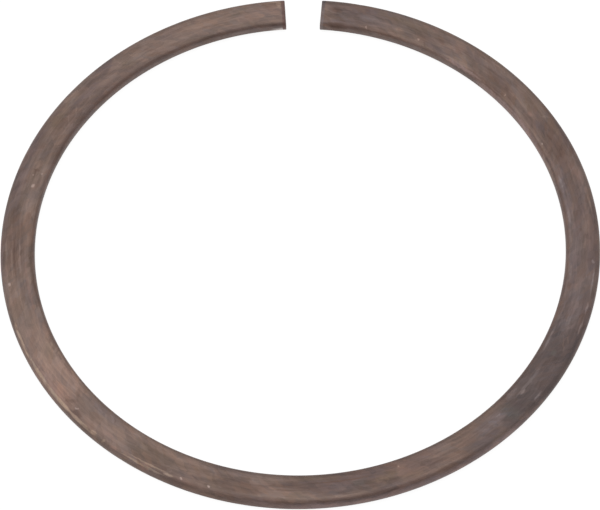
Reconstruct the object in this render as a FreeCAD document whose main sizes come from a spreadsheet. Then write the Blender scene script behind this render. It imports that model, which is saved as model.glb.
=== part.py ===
import FreeCAD, Part
import PartDesign
import Sketcher
import math
import os

# Snap ring without lugs. It is one length of flat spring-steel wire, drawn with rounded corners, coiled
# on edge to an open circle and sheared off radially at both ends.
# It lies on its flat side: +Z is its axis, the origin is on that axis at the underside, and the gap
# between its two ends is centred on +Y.

document = FreeCAD.newDocument("snap_ring")

# Driving sizes of the ring in its free state, in millimetres

sheet = document.addObject("Spreadsheet::Sheet", "Sizes")
driving_sizes = [
    ("outside_diameter", 105.0, "across the outer wall"),
    ("wire_width", 6.0, "radially, from the inner wall to the outer wall"),
    ("wire_thickness", 2.3, "from the underside to the upper side"),
    ("wall_flat", 0.3, "upright stretch of both walls, between the wire's rounded corners"),
    ("end_gap", 6.5, "between the ends, along the middle of the wire"),
    ("end_rounding", 0.25, "where the burr is taken off the sheared ends"),
]
for row, (name, value, meaning) in enumerate(driving_sizes, start=1):
    sheet.set(f"A{row}", name)
    sheet.set(f"B{row}", str(value))
    sheet.set(f"C{row}", meaning)
    sheet.setAlias(f"B{row}", name)
document.recompute()

OUTER_RADIUS = "Sizes.outside_diameter / 2"
MIDDLE_RADIUS = "(Sizes.outside_diameter - Sizes.wire_width) / 2"
CORNER_RADIUS = "(Sizes.wire_thickness - Sizes.wall_flat) / 2"
LARGEST_END_ROUNDING = f"{CORNER_RADIUS} * 3 / 4"
END_ROUNDING = f"min(Sizes.end_rounding; {LARGEST_END_ROUNDING})"
WIRE_ANGLE = f"360 deg - Sizes.end_gap / ({MIDDLE_RADIUS}) * 1 rad"


def wire_section(body):
    """The wire's cross-section, a rounded rectangle lying on the ground on the ring's -Y side."""
    section = body.newObject("Sketcher::SketchObject", "wire_section")
    upright_plane = next(plane for plane in body.Origin.OriginFeatures if plane.Role == "YZ_Plane")
    section.AttachmentSupport = [(upright_plane, "")]
    section.MapMode = "FlatFace"

    outside = -sheet.outside_diameter / 2
    inside = outside + sheet.wire_width
    top = sheet.wire_thickness
    corner = (sheet.wire_thickness - sheet.wall_flat) / 2

    # the four flats, anticlockwise from the underside, and the centre of the corner after each
    flats = [
        ((outside + corner, 0), (inside - corner, 0), (inside - corner, corner)),
        ((inside, corner), (inside, top - corner), (inside - corner, top - corner)),
        ((inside - corner, top), (outside + corner, top), (outside + corner, top - corner)),
        ((outside, top - corner), (outside, corner), (outside + corner, corner)),
    ]
    quarter_turn = math.pi / 2
    lines, corners = [], []
    for turn, (start, end, centre) in enumerate(flats):
        line = Part.LineSegment(FreeCAD.Vector(*start, 0), FreeCAD.Vector(*end, 0))
        lines.append(section.addGeometry(line, False))
        circle = Part.Circle(FreeCAD.Vector(*centre, 0), FreeCAD.Vector(0, 0, 1), corner)
        arc = Part.ArcOfCircle(circle, (turn - 1) * quarter_turn, turn * quarter_turn)
        corners.append(section.addGeometry(arc, False))
    underside, inner_wall, upper_side, outer_wall = lines

    start_point, end_point = 1, 2
    ground_axis, ring_centre = -1, (-1, 1)
    for number, line in enumerate(lines):
        next_line = lines[(number + 1) % len(lines)]
        arc = corners[number]
        section.addConstraint(Sketcher.Constraint("Tangent", line, end_point, arc, start_point))
        section.addConstraint(Sketcher.Constraint("Tangent", arc, end_point, next_line, start_point))
    for arc in corners[1:]:
        section.addConstraint(Sketcher.Constraint("Equal", corners[0], arc))
    for level_line, upright_line in ((underside, inner_wall), (upper_side, outer_wall)):
        section.addConstraint(Sketcher.Constraint("Horizontal", level_line))
        section.addConstraint(Sketcher.Constraint("Vertical", upright_line))
    section.addConstraint(Sketcher.Constraint("PointOnObject", underside, start_point, ground_axis))

    on_underside, on_upper_side = (underside, start_point), (upper_side, start_point)
    on_inner_wall, on_outer_wall = (inner_wall, start_point), (outer_wall, start_point)
    dimensions = [
        ("corner", CORNER_RADIUS, ("Radius", corners[0], corner)),
        ("outer_radius", OUTER_RADIUS, ("DistanceX", *on_outer_wall, *ring_centre, -outside)),
        ("width", "Sizes.wire_width", ("DistanceX", *on_outer_wall, *on_inner_wall, inside - outside)),
        ("thickness", "Sizes.wire_thickness", ("DistanceY", *on_underside, *on_upper_side, top)),
    ]
    for name, expression, constraint in dimensions:
        index = section.addConstraint(Sketcher.Constraint(*constraint))
        section.renameConstraint(index, name)
        section.setExpression(f"Constraints.{name}", expression)
    return section


def sheared_edges(shape):
    """The names of the edges round the two sheared ends, the only flat faces that stand upright."""
    ends = [face for face in shape.Faces if isinstance(face.Surface, Part.Plane) and is_upright(face)]
    borders = [edge for face in ends for edge in face.Edges]
    numbered = enumerate(shape.Edges, start=1)
    return [f"Edge{number}" for number, edge in numbered if any(edge.isSame(border) for border in borders)]


def is_upright(face):
    """Whether the flat face's normal lies level."""
    level = 1e-6
    return abs(face.Surface.Axis.z) < level


# The ring: the wire coiled about +Z as far as its gap, then the burr taken off both ends

ring = document.addObject("PartDesign::Body", "ring")
ring.Label = "ring"
section = wire_section(ring)

coiled_wire = ring.newObject("PartDesign::Revolution", "coiled_wire")
coiled_wire.Profile = section
coiled_wire.ReferenceAxis = (section, ["V_Axis"])
coiled_wire.Midplane = True
coiled_wire.setExpression("Angle", WIRE_ANGLE)
document.recompute()

rounded_ends = ring.newObject("PartDesign::Fillet", "rounded_ends")
rounded_ends.Base = (coiled_wire, sheared_edges(coiled_wire.Shape))
rounded_ends.setExpression("Radius", END_ROUNDING)
document.recompute()

for item in document.Objects:
    if "Invalid" in item.State or "Error" in item.State:
        raise RuntimeError(f"{item.Label} did not recompute: {item.State}")
if ring.Shape.isNull() or not ring.Shape.isValid() or len(ring.Shape.Solids) != 1:
    raise RuntimeError(f"{ring.Label} is not one valid solid")

os.makedirs("parts", exist_ok=True)
ring.Shape.exportStep(f"parts/{ring.Label}.step")
print(f"{ring.Label}: {ring.Shape.Volume:.1f} mm3, {len(ring.Shape.Faces)} faces")
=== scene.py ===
import math

import bpy
import numpy as np
from mathutils import Matrix, Vector


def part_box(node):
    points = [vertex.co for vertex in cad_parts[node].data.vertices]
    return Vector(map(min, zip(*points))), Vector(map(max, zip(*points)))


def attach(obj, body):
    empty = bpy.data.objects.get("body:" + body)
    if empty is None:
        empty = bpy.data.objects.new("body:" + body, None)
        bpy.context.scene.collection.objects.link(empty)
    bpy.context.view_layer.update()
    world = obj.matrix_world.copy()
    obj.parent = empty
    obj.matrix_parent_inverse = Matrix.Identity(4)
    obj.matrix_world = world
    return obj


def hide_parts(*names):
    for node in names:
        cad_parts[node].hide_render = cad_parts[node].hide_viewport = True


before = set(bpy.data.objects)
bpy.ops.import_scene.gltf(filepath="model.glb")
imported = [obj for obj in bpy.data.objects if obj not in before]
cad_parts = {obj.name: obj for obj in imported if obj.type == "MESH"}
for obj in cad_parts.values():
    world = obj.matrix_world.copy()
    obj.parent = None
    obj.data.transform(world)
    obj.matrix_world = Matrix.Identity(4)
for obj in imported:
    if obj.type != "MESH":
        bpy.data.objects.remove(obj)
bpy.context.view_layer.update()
MM = 0.001

# Ring
# One length of flat spring steel wire with rounded corners, coiled on its narrow side to a circle
# and sheared off at both ends. It was hardened after coiling, which left a brown oxide scale with
# temper colours, streaked along the wire by the rolling and rubbed bright on its outer corner, where
# a highlight is painted too; its corners carry painted shade.
ring_low, ring_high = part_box("ring")
OUTER_RADIUS = (ring_high.x - ring_low.x) / 2 / MM
WIRE_THICKNESS = (ring_high.z - ring_low.z) / MM
WIRE_WIDTH = 6.0
CORNER_WIDTH = 1.15
CORNER_HEIGHT = 1.0
END_GAP = 6.5
END_ROUNDING = 0.12
MIDDLE_RADIUS = OUTER_RADIUS - WIRE_WIDTH / 2
HALF_LENGTH = math.pi * MIDDLE_RADIUS - END_GAP / 2

CORNER_STEPS = 7
FACE_STEPS = 12
WALL_STEPS = 2
ROUNDING_STEPS = 5
ROLLED_STEPS = 12
END_FACE_STEPS = 4
STATIONS = 1700


def wire_section():
    """The wire's outline as rows of (offset from the middle, height above it, outward normal).

    It starts at the middle of the underside and goes outwards, up, inwards and down.
    """
    face = WIRE_WIDTH / 2 - CORNER_WIDTH
    wall = WIRE_THICKNESS / 2 - CORNER_HEIGHT
    corners = [(face, -wall), (face, wall), (-face, wall), (-face, -wall)]
    straight_steps = [WALL_STEPS, FACE_STEPS, WALL_STEPS, FACE_STEPS]
    rows = []
    for quarter, ((across, up), steps) in enumerate(zip(corners, straight_steps)):
        for step in range(CORNER_STEPS + 1):
            angle = math.radians(90 * (quarter - 1 + step / CORNER_STEPS))
            reach = Vector((CORNER_WIDTH * math.cos(angle), CORNER_HEIGHT * math.sin(angle)))
            out = Vector((math.cos(angle) / CORNER_WIDTH, math.sin(angle) / CORNER_HEIGHT)).normalized()
            rows.append((across + reach.x, up + reach.y, *out))
        next_across, next_up = corners[(quarter + 1) % 4]
        for step in range(1, steps):
            share = step / steps
            share -= 0.5 * math.sin(2 * math.pi * share) / (2 * math.pi)
            rows.append((
                across + reach.x + share * (next_across - across),
                up + reach.y + share * (next_up - up),
                *out,
            ))
    return np.roll(np.array(rows), FACE_STEPS // 2, axis=0)


section = wire_section()
section_count = len(section)
steps_round = np.linalg.norm(np.roll(section[:, :2], -1, axis=0) - section[:, :2], axis=1)
girth = np.concatenate([[0], np.cumsum(steps_round)])

# The stations along the wire. They are close together near the ends, where the shear has rolled
# the upper side over, and the section is drawn in at the last of them for the rounded end.
ROLLED_LENGTH = 0.3
ROLLED_DEPTH = 0.4
turn = np.linspace(0, math.pi / 2, ROUNDING_STEPS + 1)[1:]
tip_along = HALF_LENGTH - END_ROUNDING * (1 - np.sin(turn))
tip_inset = END_ROUNDING * (1 - np.cos(turn))
plain_end = HALF_LENGTH - END_ROUNDING
rolled = np.linspace(plain_end - ROLLED_LENGTH, plain_end, ROLLED_STEPS + 1)
plain = np.linspace(-rolled[0], rolled[0], STATIONS)[1:-1]
along = np.concatenate([-tip_along[::-1], -rolled[::-1], plain, rolled, tip_along])
inset = np.concatenate([tip_inset[::-1], np.zeros(len(along) - 2 * ROUNDING_STEPS), tip_inset])


def in_place(along, offset, height):
    """Points of the coiled wire, in metres, from places on the straight wire in millimetres."""
    bearing = along / MIDDLE_RADIUS
    radius = MIDDLE_RADIUS + offset
    places = np.stack([radius * np.sin(bearing), -radius * np.cos(bearing),
                       WIRE_THICKNESS / 2 + height + 0 * bearing], axis=-1)
    return places * MM


def dent(place, offset, height, reach, depth):
    """How deep one dent is at each point of the skin, for its half sizes along, across and up."""
    shape = ((grid_along - place) / reach[0]) ** 2 + ((grid_offset - offset) / reach[1]) ** 2
    shape = shape + ((grid_height - height) / reach[2]) ** 2
    return depth * np.exp(-shape)


grid_along = along[:, None]
grid_offset = section[None, :, 0]
grid_height = section[None, :, 1]
sink = inset[:, None] + np.zeros(section_count)

# Rolled-over ends: the upper side curves down towards the cut, the corners hardly at all.
rolling = np.clip((np.abs(grid_along) - rolled[0]) / (HALF_LENGTH - rolled[0]), 0, 1)
sink += ROLLED_DEPTH * (1 - np.sqrt(1 - rolling ** 2)) * np.clip(section[:, 3], 0, 1) ** 3

# Small nicks from handling on the four corners, and one bruise near the front left.
NICKS = 110
chance = np.random.default_rng(7)
for _ in range(NICKS):
    side = chance.choice([-1, 1], p=[0.35, 0.65]) * (WIRE_WIDTH / 2 - chance.uniform(0.1, 0.7))
    level = chance.choice([-1, 1]) * chance.uniform(0.6, 1.1)
    reach = (chance.uniform(0.2, 0.8), chance.uniform(0.12, 0.3), 0.35)
    nick_along = chance.uniform(-HALF_LENGTH, HALF_LENGTH)
    depth = chance.uniform(0.01, 0.05)
    sink += dent(nick_along, side, level, reach, depth)
BRUISE_BEARING = -47.2
bruise_along = math.radians(BRUISE_BEARING) * MIDDLE_RADIUS
sink += dent(bruise_along, 1.9, WIRE_THICKNESS / 2, (0.75, 0.5, 0.8), 0.07)

ring_points = in_place(grid_along, grid_offset - sink * section[:, 2], grid_height - sink * section[:, 3])
points = list(ring_points.reshape(-1, 3))

# Skin of the wire, and the map of it laid out in strips one above the other.
STRIPS = 5
SPACING = 0.5
strip_length = 2 * HALF_LENGTH / STRIPS
strip_height = girth[-1] + SPACING
map_width = strip_length + WIRE_THICKNESS + 4 * SPACING
map_height = STRIPS * strip_height + SPACING
faces = []
corners_on_map = []
for station in range(len(along) - 1):
    strip = min(int((along[station] + HALF_LENGTH) / strip_length), STRIPS - 1)
    left = along[station] + HALF_LENGTH - strip * strip_length
    right = along[station + 1] + HALF_LENGTH - strip * strip_length
    base = SPACING + strip * strip_height
    start = station * section_count
    after_start = start + section_count
    for step in range(section_count):
        after = (step + 1) % section_count
        faces.append((start + step, after_start + step, after_start + after, start + after))
        low, high = base + girth[step], base + girth[step + 1]
        corners_on_map += [(left, low), (right, low), (right, high), (left, high)]

# The two end faces: columns between the upper and lower halves of the outline. The first and the
# last column lie against a wall and take in the point in its middle, which closes the skin.
outer_wall = section_count // 4
inner_wall = 3 * section_count // 4
for end, station in enumerate((0, len(along) - 1)):
    start = station * section_count
    columns = []
    for upper in range(outer_wall + 1, inner_wall):
        lower = (2 * outer_wall - upper) % section_count
        wall = {outer_wall + 1: outer_wall, inner_wall - 1: inner_wall}.get(upper)
        if wall:
            half_column = END_FACE_STEPS // 2
            columns.append([start + lower] * half_column + [start + wall] + [start + upper] * half_column)
            continue
        column = [start + lower]
        for row in range(1, END_FACE_STEPS):
            share = row / END_FACE_STEPS
            points.append(points[start + lower] * (1 - share) + points[start + upper] * share)
            column.append(len(points) - 1)
        columns.append(column + [start + upper])
    for left, right in zip(columns, columns[1:]):
        for row in range(END_FACE_STEPS):
            corner_points = list(dict.fromkeys((left[row], right[row], right[row + 1], left[row + 1])))
            if end == 0:
                corner_points.reverse()
            faces.append(tuple(corner_points))
            for point in corner_points:
                place = Vector(points[point]) / MM
                across = OUTER_RADIUS - place.xy.length
                corners_on_map.append((
                    strip_length + SPACING + place.z,
                    SPACING + end * (WIRE_WIDTH + SPACING) + across,
                ))

ring_mesh = bpy.data.meshes.new("ring_looks")
ring_mesh.from_pydata([tuple(point) for point in points], [], faces)
on_map = np.array(corners_on_map) / (map_width, map_height)
ring_mesh.uv_layers.new(name="OFBake").data.foreach_set("uv", on_map.ravel())
ring_mesh.shade_smooth()
ring_mesh.update()
ring = bpy.data.objects.new("ring_looks", ring_mesh)
bpy.context.scene.collection.objects.link(ring)


class Coat:
    """A value or a colour all over the steel: one socket, on which sums add Math nodes."""

    def __init__(self, tree, socket=None):
        self.tree = tree
        self.socket = socket

    def node(self, kind, settings, sockets, output=0):
        """Adds one node: its settings first, then the values or links of its sockets."""
        made = self.tree.nodes.new(kind)
        for name, value in settings.items():
            setattr(made, name, value)
        for name, value in sockets.items():
            if isinstance(value, Coat):
                self.tree.links.new(value.socket, made.inputs[name])
            else:
                made.inputs[name].default_value = value
        return Coat(self.tree, made.outputs[output]) if made.outputs else made

    def maths(self, operation, *values):
        return self.node("ShaderNodeMath", {"operation": operation}, dict(enumerate(values)))

    def vector(self, operation, *values, output="Vector"):
        return self.node("ShaderNodeVectorMath", {"operation": operation}, dict(enumerate(values)), output)

    def __add__(self, other):
        return self.maths("ADD", self, other)

    def __sub__(self, other):
        return self.maths("SUBTRACT", self, other)

    def __rsub__(self, other):
        return self.maths("SUBTRACT", other, self)

    def __mul__(self, other):
        return self.maths("MULTIPLY", self, other)

    __radd__ = __add__
    __rmul__ = __mul__

    def apart(self, middle):
        """How far this value lies from another, either way."""
        difference = self - middle
        return difference.maths("ABSOLUTE", difference)

    def rise(self, low, high, top=1.0):
        """0 below low, top above high and smooth between them; low may be the larger."""
        sockets = {"Value": self, "From Min": low, "From Max": high, "To Max": top}
        return self.node("ShaderNodeMapRange", {"interpolation_type": "SMOOTHSTEP"}, sockets)

    def under(self, colour, share):
        """This colour, with another colour laid over it where share is 1."""
        return self.node("ShaderNodeMix", {"data_type": "RGBA"}, {0: share, 6: self, 7: (*colour, 1)}, 2)

    def tinted(self, tint, share):
        """This colour multiplied by a tint where share is 1."""
        settings = {"data_type": "RGBA", "blend_type": "MULTIPLY"}
        return self.node("ShaderNodeMix", settings, {0: share, 6: self, 7: (*tint, 1)}, 2)

    def shaded(self, share):
        """This colour made darker or lighter."""
        return self.node("ShaderNodeVectorMath", {"operation": "SCALE"}, {0: self, "Scale": share})


steel = bpy.data.materials.new("brown_spring_steel")
steel.use_nodes = True
steel.node_tree.nodes.clear()
bare = Coat(steel.node_tree)

# Places on the coiled wire in millimetres: along it from the front, out from its middle, and up.
place = bare.node("ShaderNodeTexCoord", {}, {}, "Object").shaded(1 / MM)
place_x = place.node("ShaderNodeSeparateXYZ", {}, {0: place}, "X")
place_y = place.node("ShaderNodeSeparateXYZ", {}, {0: place}, "Y")
place_z = place.node("ShaderNodeSeparateXYZ", {}, {0: place}, "Z")
wire_along = MIDDLE_RADIUS * place_x.maths("ARCTAN2", place_x, -1 * place_y)
from_axis = place.vector("LENGTH", place.vector("MULTIPLY", place, (1, 1, 0)), output="Value")
wire_offset = from_axis - MIDDLE_RADIUS
wire = place.node("ShaderNodeCombineXYZ", {}, {0: wire_along, 1: wire_offset, 2: place_z})


def grain(length, width, seed, detail=3.0, roughness=0.55, output=0, at=wire):
    """Cloudy noise, about 0.5, whose clouds are this long and wide on the wire in millimetres."""
    shift = (17.3 * seed, 5.1 * seed, 2.7 * seed)
    scaled = at.vector("MULTIPLY_ADD", at, (1 / length, 1 / width, 1 / width), shift)
    sockets = {"Vector": scaled, "Scale": 1.0, "Detail": detail, "Roughness": roughness}
    return at.node("ShaderNodeTexNoise", {}, sockets, output)


def pushed(length, width, along, across, seed):
    """The places pushed about by up to this much along and across the wire, for ragged outlines."""
    push = grain(length, width, seed, output=1)
    push = push.vector("MULTIPLY_ADD", push, (2 * along, 2 * across, 0), (-along, -across, 0))
    return wire.vector("ADD", wire, push)


ragged = pushed(3.5, 1.2, 2.8, 1.0, seed=11)
rough_edged = pushed(1.0, 0.6, 0.6, 0.25, seed=12)
wandering = pushed(14, 6, 0, 1.3, seed=13)


def flakes(length, width, slant, seed):
    """Three values from 0 to 1 for each flake of scale, which has a crisp outline and lies at a slant."""
    turned = rough_edged.node("ShaderNodeVectorRotate", {"rotation_type": "Z_AXIS"}, {
        "Vector": rough_edged, "Angle": math.radians(-slant),
    })
    shift = (7.7 * seed, 3.1 * seed, 0)
    scaled = turned.vector("MULTIPLY_ADD", turned, (1 / length, 1 / width, 1 / width), shift)
    cells = scaled.node("ShaderNodeTexVoronoi", {}, {"Vector": scaled, "Scale": 1.0}, "Color")
    return [cells.node("ShaderNodeSeparateXYZ", {}, {0: cells}, channel) for channel in "XYZ"]


FADE_DOWN = 0.5


def mark(bearing, offset, length, width, strength, at):
    """As much as its strength on one patch of the wire, about a bearing in degrees, and 0 off it.

    The patch fades away down the walls.
    """
    scale = Vector((2 / length, 2 / width, FADE_DOWN))
    middle = Vector((math.radians(bearing) * MIDDLE_RADIUS, offset, WIRE_THICKNESS))
    away = at.vector("MULTIPLY_ADD", at, scale, -middle * scale)
    return away.vector("LENGTH", away, output="Value").rise(1.5, 0.5, strength)


def scratch(bearing, offset, length, width, slant, strength):
    """A mark that lies across the wire at an angle, in degrees from the way the wire runs."""
    middle = Vector((math.radians(bearing) * MIDDLE_RADIUS, offset, WIRE_THICKNESS))
    away = rough_edged.vector("SUBTRACT", rough_edged, middle)
    turned = away.node("ShaderNodeVectorRotate", {"rotation_type": "Z_AXIS"}, {
        "Vector": away, "Angle": -math.radians(slant),
    })
    scaled = turned.vector("MULTIPLY", turned, (2 / length, 2 / width, FADE_DOWN))
    return scaled.vector("LENGTH", scaled, output="Value").rise(1.4, 0.6, strength)


# Colours of the steel. The scale is brown, with tan, olive and violet tempers, dark slate where
# it is thickest and salmon where it is thin. The crease colour is painted shade, the front wall
# colour is painted light, pink is a painted highlight, worn and bare are rubbed steel with a
# painted highlight on it, and burnished is a painted glint.
BROWN = (0.166, 0.114, 0.098)
UMBER = (0.128, 0.080, 0.064)
TAN = (0.232, 0.164, 0.136)
OLIVE = (0.174, 0.124, 0.092)
VIOLET = (0.146, 0.106, 0.102)
LILAC = (0.190, 0.145, 0.140)
SLATE = (0.108, 0.082, 0.079)
GREEN_GREY = (0.124, 0.104, 0.094)
MAUVE = (0.190, 0.142, 0.128)
FRONT_WALL_LIGHT = (0.215, 0.155, 0.148)
CREASE_SHADE = (0.140, 0.084, 0.068)
SALMON = (0.265, 0.170, 0.140)
PINK_HIGHLIGHT = (0.265, 0.185, 0.168)
PALE = (0.250, 0.200, 0.192)
WORN_AND_HIGHLIGHT = (0.400, 0.290, 0.222)
BARE_GLINT = (0.430, 0.320, 0.280)
PAINTED_GLINT = (0.56, 0.49, 0.46)

colour = bare.node("ShaderNodeMix", {"data_type": "RGBA"}, {
    0: grain(20, 3.5, seed=1).rise(0.4, 0.64), 6: (*BROWN, 1), 7: (*TAN, 1),
}, 2)
colour = colour.under(OLIVE, grain(8, 2.2, seed=2, at=ragged).rise(0.52, 0.6, 0.35))
colour = colour.under(VIOLET, grain(10, 2.4, seed=3, at=ragged).rise(0.52, 0.6, 0.45))

# Wide patches of temper colour, and small ones with sharper outlines, each by its bearing in
# degrees and its offset, length and width in millimetres, and how strong it is.
wide_patches = [
    (TAN, [
        (-166, 0.6, 18, 6, 0.8), (-148, 0.3, 20, 5, 0.7), (-73, 0.3, 11, 5, 0.4),
        (-61, 0.2, 14, 7, 1.0), (-60, -1.4, 12, 2.2, 0.5), (-41, 0.3, 14, 4.6, 0.9),
        (-27, -1.7, 14, 1.2, 0.2), (34.6, 0.1, 7, 4.6, 0.8), (80, 0.7, 4, 2, 0.6),
        (104, 1.5, 14, 2.2, 0.5), (130, 1.5, 12, 1.8, 0.4), (150, 1.4, 16, 2.2, 0.5),
    ]),
    (SALMON, [
        (-172, 0.5, 6, 1.8, 0.4), (-167.5, -0.9, 4, 1.6, 0.4), (-121, -0.8, 5, 1.7, 0.3),
        (-95, -1.3, 8, 1.3, 0.3), (-60, 0, 12, 6, 0.5), (-54.5, 0.3, 9, 5.6, 1.0),
        (-42, 1.4, 8, 1.6, 0.3), (19.6, -1.0, 4, 2.6, 0.35), (27, 0.4, 8, 4, 0.2),
        (106, 1.3, 4, 1.4, 0.6), (152, 1.6, 3, 0.9, 0.5),
    ]),
    (OLIVE, [
        (-167.2, 1.4, 2.2, 1.6, 0.4), (-139.5, -0.7, 3.4, 1.8, 0.4), (-119.7, 1.0, 4.4, 1.8, 0.8),
        (-61.5, -0.9, 3.4, 1.4, 0.3), (-28.5, 0.4, 9, 3.2, 0.5), (4, -2.0, 9, 0.9, 0.6),
        (17.6, -0.1, 3.4, 2.4, 0.6), (22.6, 1.2, 4.5, 1.6, 0.4), (125.5, 0.2, 3.4, 1.2, 0.4),
        (158, 0.2, 9, 3.4, 0.5),
    ]),
    (UMBER, [
        (-118, 0.5, 12, 3.2, 0.3), (-114, -1.4, 26, 2.6, 0.3), (-95.5, 0.9, 4, 1.3, 0.5),
        (-88, 0.6, 13, 3.6, 0.6), (-88, -1.6, 12, 2, 0.3), (-23, 0.6, 12, 4, 0.3),
        (-11, 0.5, 9, 2.4, 0.6), (-3, -0.9, 6, 1.2, 0.5), (8, 0.2, 14, 2.6, 0.3),
        (9, -0.9, 16, 3.4, 0.3), (18, 1.0, 3, 1.2, 0.4), (27, 0.6, 8, 3.4, 0.15), (37, 0.9, 12, 4, 0.4),
        (40, -1.8, 12, 1.8, 0.4), (109, -0.8, 26, 4, 0.3), (113, 0, 4, 2.2, 0.4),
        (134, -1.6, 12, 2.6, 0.6),
    ]),
    (VIOLET, [
        (-136.5, 1.8, 4, 1.2, 0.6), (-106, 2.0, 16, 1.8, 0.7), (7.5, 0.3, 8, 2.3, 0.6),
        (14, -1.3, 8, 1.6, 0.5), (39, 1.5, 4.4, 1.6, 0.7), (75, 0, 22, 7, 0.5), (86, -1.8, 5, 1.0, 0.5),
        (96, 0, 22, 6, 0.35), (119.6, -0.6, 3, 1.1, 0.7), (165.8, 1.3, 2.4, 1.2, 0.8),
        (168, -1, 12, 3.4, 0.4),
    ]),
    (SLATE, [
        (-134.6, 0.9, 2, 1.2, 0.5), (12, 0.4, 4, 2, 0.3), (38, 1.6, 9, 2.2, 0.4),
        (46, 1.3, 6, 2.6, 0.8), (55.5, 0.2, 21, 8, 0.9), (65, 1.6, 8, 2.4, 0.6),
        (66.5, -0.9, 8, 4, 0.7), (72, 1.4, 12, 2, 0.35), (72, -1.6, 10, 2.2, 0.3),
    ]),
    (LILAC, [
        (-43, -1.5, 8, 1.6, 0.5), (-9, -2.0, 5, 0.6, 0.6), (41.5, -0.3, 8, 1.8, 0.8),
        (74, -0.1, 12, 2.2, 0.7), (88, -1.4, 12, 2, 0.5), (101, -1.7, 14, 1.2, 0.6),
        (161, -0.6, 10, 2.2, 0.4),
    ]),
    # Rubbed steel with a painted highlight on it, on the top at the front left.
    (WORN_AND_HIGHLIGHT, [
        (-57, -0.8, 15, 4.6, 0.22),
    ]),
]
for finish, places_on_wire in wide_patches:
    for bearing, offset, length, width, strength in places_on_wire:
        colour = colour.under(finish, mark(bearing, offset, length, width, strength, ragged))

# Painted shade in the creases of the corners, a worn outer corner at the front left with a painted highlight
# on it, the greyer mauve brown of the inner wall, and painted light making the outer wall paler at the front,
# about these places along the wire in millimetres.
CREASE_SHADE_MIDDLE = 3.5
WORN_HIGHLIGHT_MIDDLE = -49.0
FRONT_WALL_LIGHT_MIDDLE = 19.0
# Painted shade: the outer corner is darkened at the front, and the inner corner all round.
outer_crease_shade = wire_offset.rise(1.8, 2.3) * wire_along.apart(CREASE_SHADE_MIDDLE).rise(32, 22, 0.5)
inner_crease_shade = wire_offset.rise(-2.3, -2.6, 0.5)
colour = colour.under(CREASE_SHADE, outer_crease_shade.maths("MAXIMUM", outer_crease_shade, inner_crease_shade))
# Rubbed outer corner with a painted highlight along it.
worn_corner_highlight = wire_offset.apart(2.5).rise(0.3, 0.12) * wire_along.apart(WORN_HIGHLIGHT_MIDDLE).rise(16, 9)
colour = colour.under(WORN_AND_HIGHLIGHT, worn_corner_highlight * grain(1.6, 0.5, seed=15).rise(0.33, 0.6, 0.9))
colour = colour.under(MAUVE, wire_offset.rise(-2.7, -2.95, 0.8))
# Painted light: the outer wall is made paler at the front.
front_wall_light = wire_offset.rise(2.5, 2.78, 0.8) * wire_along.apart(FRONT_WALL_LIGHT_MIDDLE).rise(30, 16)
colour = colour.under(FRONT_WALL_LIGHT, front_wall_light)

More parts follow.
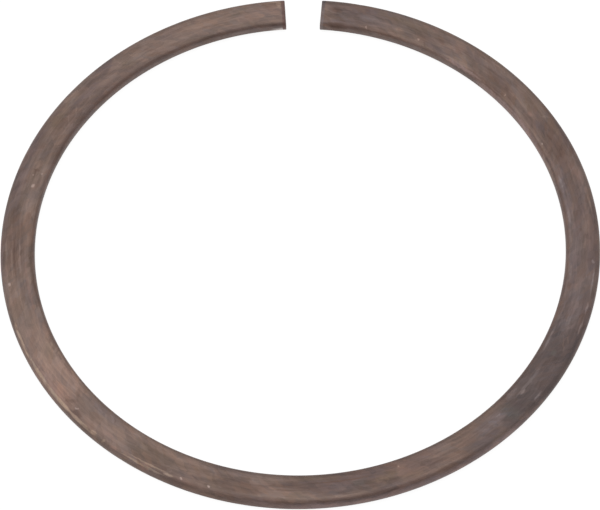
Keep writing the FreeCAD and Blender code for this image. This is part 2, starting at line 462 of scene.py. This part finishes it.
small_patches = [
    (GREEN_GREY, [
        (12.2, -0.2, 2.2, 1.3, 0.4), (46.2, 0.4, 2.4, 3.4, 0.6), (62.2, -0.2, 1.3, 0.8, 0.8),
    ]),
    (UMBER, [
        (-107, -0.5, 0.4, 1.2, 0.6), (-106, -0.4, 1.8, 0.35, 0.6), (-86, 0.5, 9, 0.35, 0.7),
        (-81, -2.4, 8, 0.5, 0.6), (-46.8, 1.9, 2.0, 1.2, 0.75), (-3, -0.5, 5, 0.35, 0.7),
        (-2, 0.3, 4, 0.3, 0.4), (8.5, -1.0, 10, 0.3, 0.8), (72, 1.6, 2.2, 0.5, 0.5),
        (78.6, -1.8, 1.5, 0.8, 0.5), (133, -2.1, 5, 0.3, 0.6), (137.5, -2.2, 5, 0.3, 0.6),
        (167, -2.4, 5, 1.1, 0.4), (172.3, -2.7, 4.0, 1.0, 0.9), (172.9, 0.6, 2.0, 1.0, 0.8),
    ]),
    # Painted highlight along the inner corner on the right.
    (PINK_HIGHLIGHT, [
        (113, -2.9, 7, 0.5, 0.6), (124, -2.95, 16, 0.7, 0.9), (133, -2.95, 8, 0.5, 0.7),
        (142.5, -2.55, 9, 0.4, 1.0),
    ]),
    (SALMON, [
        (-170, 2.3, 8, 0.4, 0.4), (-77, -1.4, 12, 0.5, 0.5), (-36.4, 2.4, 1.0, 0.5, 0.8),
        (-29.5, 2.4, 1.4, 0.9, 0.8), (101.8, 1.9, 1.2, 0.6, 0.7), (123, -0.7, 1.2, 0.8, 0.7),
        (145.7, 0.3, 2.4, 1.8, 0.4),
    ]),
    (PALE, [
        (44, -0.6, 1.0, 0.3, 0.7), (49.5, -1.8, 2.6, 0.8, 0.3), (51.2, -0.5, 1.4, 0.4, 0.7),
        (52.4, 1.95, 1.8, 0.35, 0.6), (53.6, -0.8, 7, 0.5, 0.4), (64.8, -2.0, 5, 0.35, 0.5),
        (69.8, 2.1, 2.8, 0.3, 0.6), (70.5, -0.3, 2.6, 0.6, 0.4), (74.3, 2.1, 1.8, 0.35, 0.7),
        (80.6, 2.05, 5.4, 0.25, 0.6), (82.5, -2.0, 2.6, 0.6, 0.4), (85, 1.8, 0.7, 0.6, 0.7),
        (95.8, -2.0, 3, 0.5, 0.5), (104.6, -1.9, 2.8, 0.5, 0.5), (166, 0, 3, 1.2, 0.3),
    ]),
    (TAN, [
        (-175.0, 1.5, 0.8, 1.6, 1.0), (-103, -1.6, 12, 2, 0.5), (-97, -0.8, 4, 1.4, 0.5),
        (-86.5, 1.9, 4, 0.4, 0.7), (-85, -0.4, 7, 0.35, 0.6), (-84, 1.0, 6, 0.35, 0.7),
        (-47.4, 0.5, 1.4, 0.9, 0.6), (-36, 0.5, 1.2, 0.7, 0.8), (-18.5, -1.4, 4, 0.35, 0.6),
        # The thin tan lines near the outer corner at the front, from bearing -4.5 to 7.3, are a painted
        # highlight.
        (-8, -1.5, 12, 2, 0.5), (-4.5, 1.6, 7, 0.35, 0.7), (6, 1.75, 13, 0.4, 0.6),
        (7.3, 1.8, 1.3, 0.35, 1.0), (94, 0.6, 3.4, 1.4, 0.4), (98.8, 2.0, 4.2, 0.35, 1.0),
        (109, -2.9, 6, 0.4, 0.8), (147.6, 0, 1.5, 0.6, 1.0), (158.8, -0.9, 1.8, 0.8, 0.8),
        (175.1, 0.2, 0.9, 3.6, 0.6),
    ]),
    # Rubbed spots with painted highlights, most of them on the outer corner at the front left.
    (WORN_AND_HIGHLIGHT, [
        (-174.9, 1.6, 0.8, 1.6, 0.35), (-173.6, 2.2, 2.4, 0.4, 0.4), (-63, -2.0, 1.2, 0.4, 0.4),
        (-57.5, 2.4, 3.2, 0.4, 0.5), (-50.6, 2.4, 3.4, 0.45, 0.7), (-46.3, 2.45, 3.0, 0.4, 0.6),
        (-41.5, 2.4, 1.2, 0.5, 0.7), (-39, 2.45, 0.6, 0.5, 0.7), (-30, 2.45, 7, 0.3, 0.7),
        (-29, 1.85, 6.5, 0.3, 0.6), (-24.5, 2.1, 1.4, 0.35, 0.6),
    ]),
    # Bright specks: nicks of bare steel with a painted glint on them.
    (BARE_GLINT, [
        (-106.3, -1.6, 0.35, 0.3, 0.4), (-105.6, -0.2, 0.35, 0.3, 0.5),
        (-103.0, -0.85, 0.6, 0.55, 0.95), (-79.2, 1.75, 0.75, 0.5, 0.95), (-47.5, 1.3, 0.45, 0.4, 0.7),
        (-22.3, 1.9, 0.5, 0.4, 0.7), (-16.6, 1.8, 0.45, 0.4, 0.9), (20.7, -1.3, 0.35, 0.5, 0.5),
        (115.3, -2.05, 0.45, 0.35, 0.7), (130.2, -1.7, 0.4, 0.35, 0.5), (153.9, -1.5, 0.4, 0.5, 0.6),
        (165.8, -2.2, 0.35, 0.5, 0.5),
    ]),
]
for finish, places_on_wire in small_patches:
    for bearing, offset, length, width, strength in places_on_wire:
        colour = colour.under(finish, mark(bearing, offset, length, width, strength, rough_edged))

# A painted highlight low on the inner wall, beside the left end.
glint = place_z.rise(1.6, 1.0) * wire_offset.rise(-2.4, -2.7) * wire_along.rise(-148.8, -151.2)
colour = colour.under(PAINTED_GLINT, glint)

# Scratches: bearing, offset, length, width, slant and strength.
for placed in [
    (-155.7, -0.2, 1.9, 0.3, -62, 0.7), (-153.3, 0.3, 1.6, 0.3, 24, 0.7), (-146, -0.9, 1.2, 0.3, -30, 0.6),
    (-128.2, -0.9, 0.8, 0.3, -45, 0.7), (-124, -0.6, 2.2, 0.3, -38, 0.5), (-121, -0.8, 2.2, 0.3, -35, 0.5),
    (-118.8, -1.2, 1.6, 0.3, -35, 0.5), (65, 0.6, 3.2, 0.25, -24, 0.2), (66.4, 0.9, 2.4, 0.25, -24, 0.2),
    (121, 1.3, 1.5, 0.4, -50, 0.5), (154.4, -1.9, 0.9, 0.3, 20, 0.7), (130.3, -1.6, 0.9, 0.3, 50, 0.5),
    (-24.8, 1.6, 1.3, 0.25, -40, 0.4), (-73, 0.6, 3.2, 0.3, 8, 0.4), (-70.5, 2.0, 2.4, 0.3, 12, 0.5),
    (35, -1.6, 1.2, 0.25, 60, 0.3), (98, -1.1, 2.6, 0.3, 12, 0.5), (90.5, -1.9, 2.2, 0.3, 8, 0.5),
]:
    colour = colour.under(TAN, scratch(*placed))
for placed in [
    (-49.6, 1.0, 2.4, 0.7, -48, 0.35), (-50.2, -0.8, 2.2, 0.7, 42, 0.35), (-25.6, 1.2, 1.8, 0.25, -42, 0.4),
    (-40.2, -1.6, 1.8, 0.25, 48, 0.4), (152.2, -1.9, 1.2, 0.3, 60, 0.4), (59.5, 0.2, 2.2, 0.3, 60, 0.4),
]:
    colour = colour.under(UMBER, scratch(*placed))

# The two sheared ends have a strip of other scale, redder on the left and bluer on the right,
# where its outer half is slate.
LEFT_END_SCALE = (0.165, 0.098, 0.085)
RIGHT_END_SCALE = (0.215, 0.180, 0.180)
strip_edge = 0.5 + 0.3 * grain(2.0, 1.5, seed=14)
left_strip = (wire_along + HALF_LENGTH - strip_edge).rise(0.06, -0.06)
right_strip = (HALF_LENGTH - wire_along - strip_edge).rise(0.06, -0.06)
colour = colour.under(LEFT_END_SCALE, 0.9 * left_strip)
colour = colour.under(RIGHT_END_SCALE, 0.6 * right_strip)
colour = colour.under(SLATE, 0.7 * right_strip * wire_offset.rise(0.2, 1.0))

# Streaks along the wire, and flakes of scale.
streaks = grain(7, 0.42, seed=4, at=wandering)
blotches = grain(2.6, 0.9, seed=5, roughness=0.6, at=rough_edged)
fine = grain(1.2, 0.15, seed=6, detail=2, roughness=0.6)
tone = 0.8 * (streaks - 0.5) + 0.3 * (blotches - 0.5) + 0.25 * (fine - 0.5) + 0.975
COOLER = (0.96, 0.98, 1.01)
WARMER = (1.02, 0.99, 0.97)
for length, width, slant, seed in ((3.4, 1.3, 14, 21), (1.8, 0.6, 35, 22)):
    shade, cool, warm = flakes(length, width, slant, seed)
    tone = tone + 0.16 * (shade - 0.5)
    colour = colour.tinted(COOLER, cool.rise(0.6, 0.7)).tinted(WARMER, warm.rise(0.6, 0.7))
scale_grains = grain(0.35, 0.2, seed=7, detail=2)
tone = tone + 0.2 * (scale_grains - 0.5)

# The end faces: burnished by the shear above, torn and duller below, with upright blade marks.
on_end = wire_along.apart(0).rise(HALF_LENGTH - 0.12, HALF_LENGTH - 0.03)
blade_marks = wire.vector("MULTIPLY", wire, (0.2, 7.0, 0.6))
blade_marks = blade_marks.node("ShaderNodeTexNoise", {}, {"Vector": blade_marks, "Scale": 1.0, "Detail": 2.0})
torn = on_end * (place_z + 0.8 * (blade_marks - 0.5)).rise(1.3, 1.0)
tears = grain(1.0, 0.3, seed=16, detail=4)
tone = tone + on_end * (0.8 * (blade_marks - 0.5) + 0.08) - torn * (0.22 - 0.9 * (tears - 0.5))
colour = colour.shaded(tone)

roughness = 0.34 + 0.16 * streaks + 0.16 * blotches + 0.1 * scale_grains - 0.08 * on_end + 0.2 * torn
relief = 0.5 * streaks + 0.5 * blotches + 0.3 * fine + 0.25 * scale_grains
relief = relief + 0.8 * on_end * (blade_marks - 0.5) + 1.5 * torn * (tears - 0.5)
bump = relief.node("ShaderNodeBump", {}, {"Strength": 0.3, "Distance": 0.06 * MM, "Height": relief})
shader = bare.node("ShaderNodeBsdfPrincipled", {}, {
    "Base Color": colour,
    "Roughness": roughness,
    "Metallic": 0.7,
    "Normal": bump,
})
bare.node("ShaderNodeOutputMaterial", {}, {"Surface": shader})
ring_mesh.materials.append(steel)

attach(ring, "root")
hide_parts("ring")

# Floor
# A plain white sheet that the ring lies on. It shows white to the camera and in the steel, and
# takes a faint shadow close to the ring.
FLOOR_SIDE = 6.0
floor_mesh = bpy.data.meshes.new("floor")
half = FLOOR_SIDE / 2
floor_corners = [(-half, -half, 0), (half, -half, 0), (half, half, 0), (-half, half, 0)]
floor_mesh.from_pydata(floor_corners, [], [(0, 1, 2, 3)])
floor = bpy.data.objects.new("floor", floor_mesh)
floor.location.z = -0.02 * MM
bpy.context.scene.collection.objects.link(floor)
paper = bpy.data.materials.new("white_paper")
paper.use_nodes = True
paper.node_tree.nodes.clear()
sheet = Coat(paper.node_tree)
seen = sheet.node("ShaderNodeLightPath", {}, {}, "Is Camera Ray")
seen = seen + sheet.node("ShaderNodeLightPath", {}, {}, "Is Glossy Ray")
seen = seen + sheet.node("ShaderNodeLightPath", {}, {}, "Is Transmission Ray")
matt = sheet.node("ShaderNodeBsdfDiffuse", {}, {"Color": (0.85, 0.85, 0.85, 1)})
lit = sheet.node("ShaderNodeEmission", {}, {"Color": (1, 1, 1, 1), "Strength": 1.1})
mixed = sheet.node("ShaderNodeMixShader", {}, {0: 0.85 * seen.maths("MINIMUM", seen, 1), 1: matt, 2: lit})
sheet.node("ShaderNodeOutputMaterial", {}, {"Surface": mixed})
floor_mesh.materials.append(paper)

# Light
# A pale room, darker in front and low behind, brighter on the left, and a wide soft lamp above.
room = bpy.data.worlds.new("pale_room")
room.use_nodes = True
room.node_tree.nodes.clear()
air = Coat(room.node_tree)
direction = air.node("ShaderNodeTexCoord", {}, {}, "Generated")
FRONT = Vector((-0.02, -0.64, 0.77)).normalized()
BACK = Vector((0.0, 0.96, 0.26)).normalized()
towards_front = direction.vector("DOT_PRODUCT", direction, FRONT, output="Value")
towards_back = direction.vector("DOT_PRODUCT", direction, BACK, output="Value")
towards_right = direction.vector("DOT_PRODUCT", direction, (1, 0, 0), output="Value")
low_down = air.node("ShaderNodeSeparateXYZ", {}, {0: direction}, "Z").rise(0.75, 0.1)
level = 1.0 - 0.6 * towards_front.rise(0.6, 0.97) - 0.3 * towards_back.rise(0.85, 0.99)
level = level - 0.2 * low_down - 0.14 * towards_right
background = air.node("ShaderNodeBackground", {}, {"Color": (1, 1, 1, 1), "Strength": level})
air.node("ShaderNodeOutputWorld", {}, {"Surface": background})
bpy.context.scene.world = room

lamp_data = bpy.data.lights.new("soft_lamp", "AREA")
lamp_data.shape = "RECTANGLE"
lamp_data.size = 1.1
lamp_data.size_y = 0.8
lamp_data.energy = 3.0
lamp = bpy.data.objects.new("soft_lamp", lamp_data)
lamp.location = (-0.25, 0.1, 1.2)
lamp.rotation_mode = "QUATERNION"
lamp.rotation_quaternion = lamp.location.to_track_quat("Z", "Y")
bpy.context.scene.collection.objects.link(lamp)

# Camera
# It looks down on the ring from the front with a long lens, turned a little in its own view.
AZIMUTH = math.radians(1.75)
ELEVATION = math.radians(57.787)
ROLL = math.radians(-1.282)
DISTANCE = 570.13
LENS = 195.15
AIM = Vector((-0.003, -1.890, 0.0))
camera_data = bpy.data.cameras.new("camera")
camera_data.lens = LENS
camera_data.sensor_width = 36.0
camera = bpy.data.objects.new("camera", camera_data)
bpy.context.scene.collection.objects.link(camera)
turned = (Matrix.Rotation(AZIMUTH, 4, "Z") @ Matrix.Rotation(math.pi / 2 - ELEVATION, 4, "X")
          @ Matrix.Rotation(ROLL, 4, "Z"))
away = turned @ Vector((0, 0, DISTANCE))
camera.matrix_world = Matrix.Translation((AIM + away) * MM) @ turned
bpy.context.scene.camera = camera
bpy.context.scene.view_settings.view_transform = "Standard"
